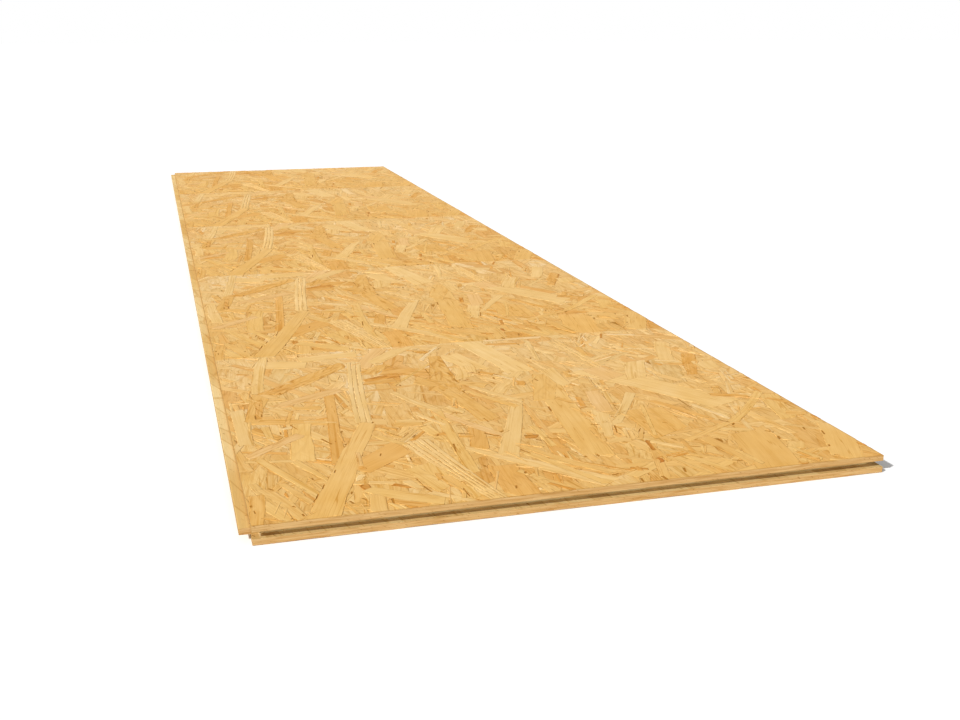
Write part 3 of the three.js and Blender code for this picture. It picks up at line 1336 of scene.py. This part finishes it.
def strand_colour(tree):
    """Each strand's own tone, with growth rings, fibres, splinters, flecks and a rim darkened
    partly by painted shade.
    """
    grain = attribute(tree, "strand_grain", "Vector")
    torn = attribute(tree, "strand_torn")
    place = position(tree)

    rings_here = grain.noise(*RING_NOISE).ramp(*RING_RAMP) * attribute(tree, "strand_stripes")
    colour = attribute(tree, "strand_colour", "Color").tinted(RING_TINT, rings_here)
    colour = colour.tinted(grain.noise(*FIBRE_NOISE).colour(*FIBRE_TINTS))
    colour = colour.tinted(grain.noise(*SHADE_NOISE).colour(*SHADE_TINTS))
    colour = colour.tinted(place.noise(*CLOUD_NOISE).colour(*CLOUD_TINTS))

    number, gaps = splinters(grain)
    colour = colour.tinted(number.colour(*SPLINTER_TINTS), torn)
    colour = colour.tinted(GAP_TINT, gaps * torn)
    colour = colour.tinted(CRACK_TINT, cracks(grain))
    colour = colour.tinted(FLECK_TINT, flecks(grain))

    # The rims are dark in some stretches and hardly show in others: partly the strands' dark edges,
    # partly painted shade at the foot of each step down to the strand beneath.
    foot = attribute(tree, "strand_rim").ramp(*FOOT_RAMP)
    colour = colour.tinted(RIM_SHADE_TINT, foot * place.noise(*RIM_NOISE).ramp(*RIM_RAMP))
    return colour.tinted(BORDER_TINT, along_border(tree))


def repeat_share(tree):
    """How far along the repeat of the photograph's pattern a point is, 0 to 1."""
    from_near = position(tree).xyz()[1] - FACE_LOW[1] * MM
    return (from_near / (REPEAT * MM)).fraction()


def repeating_colour(tree):
    """The strands' colour, paler towards the far end of each repeat."""
    return strand_colour(tree).tinted((*FAR_TINT, 1), repeat_share(tree))


def strand_roughness(tree):
    grain = attribute(tree, "strand_grain", "Vector")
    return grain.noise(*SHEEN_NOISE).between(*STRAND_ROUGHNESS)


def strand_relief(tree):
    """Fine fibres, and on a torn surface the splinters, each at a height of its own."""
    grain = attribute(tree, "strand_grain", "Vector")
    number, gaps = splinters(grain)
    raised = number * SPLINTER_HEIGHT - gaps * GAP_DEPTH
    fibres = grain.noise(*FIBRE_NOISE) * FIBRE_HEIGHT
    return fibres + raised * attribute(tree, "strand_torn")


# How thick a layer of strands is in the board, and how long its strands show on a milled
# edge. A flat surface of the joint lies along them and draws them out by FLAT_STRETCH. Its
# strands lie askew, with a thin dark line of LAID_LINE of their size round each.
LAYER_THICKNESS = 0.8
SLICE_LENGTH = 24.0
FLAT_STRETCH = 2.2
LAID_TURN = math.radians(15)
LAID_LENGTH = 60.0
LAID_WIDTH = 9.0
LAID_LINE = 0.05
# How much less those strands differ in tone than the slices do.
LAID_REACH = 0.6

# The noises of the milled edges, in a millimetre along the strands and across them.
WAVE_NOISE = (0.05, 0.1, 0.1), 1.0
CUT_FIBRE_NOISE = (0.10, 1.6, 0.1), 3.0, 0.6
VOID_NOISE = (0.22, 1.0, 0.1), 1.0
CUT_RELIEF_NOISE = (0.12, 1.6, 0.1), 3.0, 0.6
CUT_SHEEN_NOISE = (0.1, 0.8, 0.1), 2.0
VOID_TURN = math.radians(28)

# The strands of the board's inside, cut through. A surface that lies flat, along their grain,
# is paler, and a face to the side is darker, which is painted shade. The groove's tints are
# painted light for light that the photograph has in there and these lamps don't give.
EDGE_DARK = (*linear(198, 154, 94), 1)
EDGE_PALE = (*linear(215, 178, 121), 1)
EDGE_GAP_TINT = (0.84, 0.75, 0.60, 1)
CUT_FIBRE_TINTS = (0.88, 0.82, 0.72, 1), (1.07, 1.09, 1.14, 1)
SIDE_SHADE_TINT = (0.76, 0.77, 0.68, 1)
FLAT_TINT = (1.20, 1.28, 1.18, 1)
FLAT_PALE_TINT = (1.32, 1.57, 1.84, 1)
# Painted shade in the corner at the tongue's shoulder.
SHOULDER_SHADE_TINT = (0.96, 0.96, 0.86, 1)
GROOVE_FLANK_TINT = (1.00, 1.16, 1.24, 1)
GROOVE_DEEP_TINT = (1.33, 1.68, 2.35, 1)
GROOVE_FLOOR_TINT = (1.39, 1.86, 2.40, 1)
GROOVE_MOUTH_TINT = (0.95, 1.00, 0.90, 1)
VOID_TINT = (0.62, 0.48, 0.30, 1)

# Where the end groove's open left mouth turns into its inside, from the left of the face, and
# where a groove's flank turns into its deep part, from its lips.
MOUTH_REACH = (5, 8)
FLANK_REACH = (2, 9)

# Where along a repeat the tongue's pale stretch comes in and goes out.
PALE_STARTS = (0.24, 0.36)
PALE_ENDS = (0.94, 0.80)

VOID_RAMP = (0.67, 0.73)
SIDE_RAMP = (0.1, 0.5)
EDGE_ROUGHNESS = (0.7, 0.9)

# A surface faces along an axis where its normal has more than this of it.
FACING_LEAST = 0.7


def faces_way(component):
    """1 where the surface faces more along that axis than the others."""
    return abs(component) > FACING_LEAST


def edge_place(tree):
    """Where a point is on the milled edges: along the strands and across them, in mm.

    An upright face cuts the layers through, so they lie as thin as they are. A flat one, on
    the tongue or in the groove, lies along them. Returns the place and 1 on the flat ones.
    """
    x, y, z = position(tree).xyz()
    normal_x, _, normal_z = facing(tree).xyz()
    flat = faces_way(normal_z)
    along = faces_way(normal_x).higher(flat).between(x, y)
    metres = flat.node("ShaderNodeCombineXYZ", {0: along, 1: flat.between(z, x)})
    return metres.stretched(flat.between(1 / MM, 1 / MM / FLAT_STRETCH)), flat


def edge_slices(place):
    """The strands as the mill cuts them: flat wavy slices. Returns their numbers and gaps."""
    shift = place.node("ShaderNodeCombineXYZ", {1: place.noise(*WAVE_NOISE)})
    wavy = place.node("ShaderNodeVectorMath", {0: place, 1: shift}, operation="ADD")
    return cells(wavy, SLICE_LENGTH, LAYER_THICKNESS)


def laid_strands(place):
    """Strands that lie flat, with thin dark lines between. Returns numbers and lines."""
    turned = place.turned(LAID_TURN)
    border = turned.patches(LAID_LENGTH, LAID_WIDTH, "DISTANCE_TO_EDGE")
    return turned.patches(LAID_LENGTH, LAID_WIDTH).own_number(), border.ramp(LAID_LINE, 0.0)


def pale_stretch(tree):
    """1 where the photograph's pattern is pale along the tongue: the middle of each repeat."""
    share = repeat_share(tree)
    return share.ramp(*PALE_STARTS) * share.ramp(*PALE_ENDS)


def groove_painted_light(tree, flat):
    """Painted light inside a groove, by how deep and how near its open end it is, with a little
    painted shade at the end groove's open left mouth.
    """
    x, y, _ = position(tree).xyz()
    depth = (y - FACE_LOW[1] * MM).lower(abs(x - FACE_HIGH[0] * MM))
    deep = depth.ramp(*(reach * MM for reach in FLANK_REACH))
    inside = flat.colour(GROOVE_FLOOR_TINT, deep.colour(GROOVE_FLANK_TINT, GROOVE_DEEP_TINT))
    past_mouth = x.ramp(*((FACE_LOW[0] + reach) * MM for reach in MOUTH_REACH))
    return past_mouth.colour(GROOVE_MOUTH_TINT, inside)


def inside_groove(tree):
    """1 inside a groove. Its floor runs on into a tongue's end, which the laid face leaves out."""
    x, y, _ = position(tree).xyz()
    in_face = (x > FACE_LOW[0] * MM) * (y < FACE_HIGH[1] * MM)
    return in_face * attribute(tree, "in_groove")


def edge_colour(tree):
    """Milled strands: thin slices, or laid strands where flat, with fibres, dark voids and painted
    light and shade.
    """
    place, flat = edge_place(tree)
    number, gaps = (
        flat.between(sliced, laid)
        for sliced, laid in zip(edge_slices(place), laid_strands(place))
    )
    apart = (number - 0.5) * flat.between(1.0, LAID_REACH)
    colour = (apart + 0.5).colour(EDGE_DARK, EDGE_PALE).tinted(EDGE_GAP_TINT, gaps)
    colour = colour.tinted(place.noise(*CUT_FIBRE_NOISE).colour(*CUT_FIBRE_TINTS))
    voids = place.turned(VOID_TURN).noise(*VOID_NOISE).ramp(*VOID_RAMP)
    colour = colour.tinted(VOID_TINT, voids)

    laid_flat = pale_stretch(tree).colour(FLAT_TINT, FLAT_PALE_TINT)
    # Painted shade on the tongue's top, in the corner at the shoulder.
    cornered = shoulder_shade_share(tree).colour(laid_flat, SHOULDER_SHADE_TINT)
    # Painted shade: faces to either side of the board are darker.
    to_the_side = abs(facing(tree).xyz()[0]).ramp(*SIDE_RAMP)
    outside = flat.colour(to_the_side.colour(WHITE, SIDE_SHADE_TINT), cornered)
    return colour.tinted(inside_groove(tree).colour(outside, groove_painted_light(tree, flat)))


def edge_roughness(tree):
    return edge_place(tree)[0].noise(*CUT_SHEEN_NOISE).between(*EDGE_ROUGHNESS)


def edge_relief(tree):
    return edge_place(tree)[0].noise(*CUT_RELIEF_NOISE)


# ---------------------------------------------------------------- the object

strand_wood = wood_shader(
    "pressed_strands", strand_roughness, strand_colour, strand_relief, STRAND_BUMP
)
photo_wood = wood_shader(
    "face_strands", strand_roughness, repeating_colour, strand_relief, STRAND_BUMP
)
edge_wood = wood_shader("milled_edge", edge_roughness, edge_colour, edge_relief, EDGE_BUMP)

core = milled_core(frame["nodes"]["osb_panel"])
core.data.materials.clear()
core.data.materials.append(edge_wood)
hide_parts("osb_panel")

# An upright surface has no more than this of the third axis in its normal.
UPRIGHT_MOST = 0.02

top_sheet = strand_sheet("face_strands", seed=11, upward=True, with_features=True)
back_sheet = strand_sheet("back_strands", seed=23, upward=False, with_features=False)
for sheet, wood in ((top_sheet, photo_wood), (back_sheet, strand_wood)):
    sheet.data.materials.append(wood)
    sheet.data.materials.append(edge_wood)
    for polygon in sheet.data.polygons:
        # The outer wall is milled.
        if abs(polygon.normal.z) < UPRIGHT_MOST:
            polygon.material_index = 1

for piece in (core, top_sheet, back_sheet):
    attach(piece, "root")


# ---------------------------------------------------------------- camera, floor and light

# Where the photograph was taken from, by a camera fitted to the panel's corners in it.
PHOTO_WIDTH, PHOTO_HEIGHT = 960, 720
CAMERA_PLACE = (-0.3485, -2.0899, 0.4059)
CAMERA_TURN = math.radians(15.81)
CAMERA_DIP = math.radians(16.223)
CAMERA_HEIGHT_ANGLE = math.radians(35)

# Level light: a white surface that lies flat renders as white. The sun comes from the near
# left, a fill comes low from the front, into the groove, and the rest from all round.
SUN_FROM = Vector((-1.24, -0.72, 1)).normalized()
SUN_SHARE = 0.68
SUN_SPREAD = math.radians(3)
FILL_FROM = Vector((0.1, -1, 0.25)).normalized()
FILL_STRENGTH = 0.15
FILL_SPREAD = math.radians(10)
ROUND_SHARE = 1 - SUN_SHARE - FILL_STRENGTH * FILL_FROM.z

# The floor's grey for the light that bounces off it, half its size in metres, and the little
# glow that keeps it white to the camera.
FLOOR_COLOUR = (0.8, 0.8, 0.8, 1)
FLOOR_REACH = 30
FLOOR_LIFT = 0.06


def make_camera():
    data = bpy.data.cameras.new("camera")
    half_width = math.tan(CAMERA_HEIGHT_ANGLE / 2) * PHOTO_WIDTH / PHOTO_HEIGHT
    data.lens = data.sensor_width / 2 / half_width
    data.clip_start = 0.01
    camera = placed("camera", data)
    camera.location = CAMERA_PLACE
    camera.rotation_euler = (math.pi / 2 - CAMERA_DIP, 0, -CAMERA_TURN)
    bpy.context.scene.camera = camera


def make_lamp(name, comes_from, share, spread):
    """A far lamp. A white surface that faces it gives back share of white."""
    data = bpy.data.lights.new(name, "SUN")
    data.angle = spread
    data.energy = share * math.pi
    placed(name, data).rotation_euler = comes_from.to_track_quat("Z", "Y").to_euler()


def seen_directly(tree):
    """1 for rays from the camera, and those that reach it by gloss or through glass."""
    camera = add(tree, "ShaderNodeLightPath", output="Is Camera Ray")
    by_gloss = camera.higher(camera.sibling("Is Glossy Ray"))
    return by_gloss.higher(camera.sibling("Is Transmission Ray"))


def make_world():
    """Light from all round, which is white where it is seen."""
    world = bpy.data.worlds.new("studio")
    bpy.context.scene.world = world
    tree = new_tree(world)
    strength = seen_directly(tree).between(ROUND_SHARE, 1.0)
    feed(tree.nodes["Background"], {"Color": WHITE, "Strength": strength})


def make_floor():
    """A pale floor that is white to the camera and takes the object's shadow."""
    mesh = bpy.data.meshes.new("floor")
    signs = ((-1, -1), (1, -1), (1, 1), (-1, 1))
    corners = [(x * FLOOR_REACH, y * FLOOR_REACH, 0) for x, y in signs]
    mesh.from_pydata(corners, [], [(0, 1, 2, 3)])
    floor = placed("floor", mesh)
    material = bpy.data.materials.new("floor")
    tree = new_tree(material)
    seen = seen_directly(tree)
    values = {
        "Base Color": seen.colour(FLOOR_COLOUR, WHITE),
        "Roughness": 1.0,
        "Specular IOR Level": 0.0,
        "Emission Color": WHITE,
        "Emission Strength": seen * FLOOR_LIFT,
    }
    feed(tree.nodes["Principled BSDF"], values)
    mesh.materials.append(material)


make_camera()
make_lamp("sun", SUN_FROM, SUN_SHARE / SUN_FROM.z, SUN_SPREAD)
make_lamp("fill", FILL_FROM, FILL_STRENGTH, FILL_SPREAD)
make_world()
make_floor()
bpy.context.scene.view_settings.view_transform = "Standard"

bpy.context.view_layer.update()
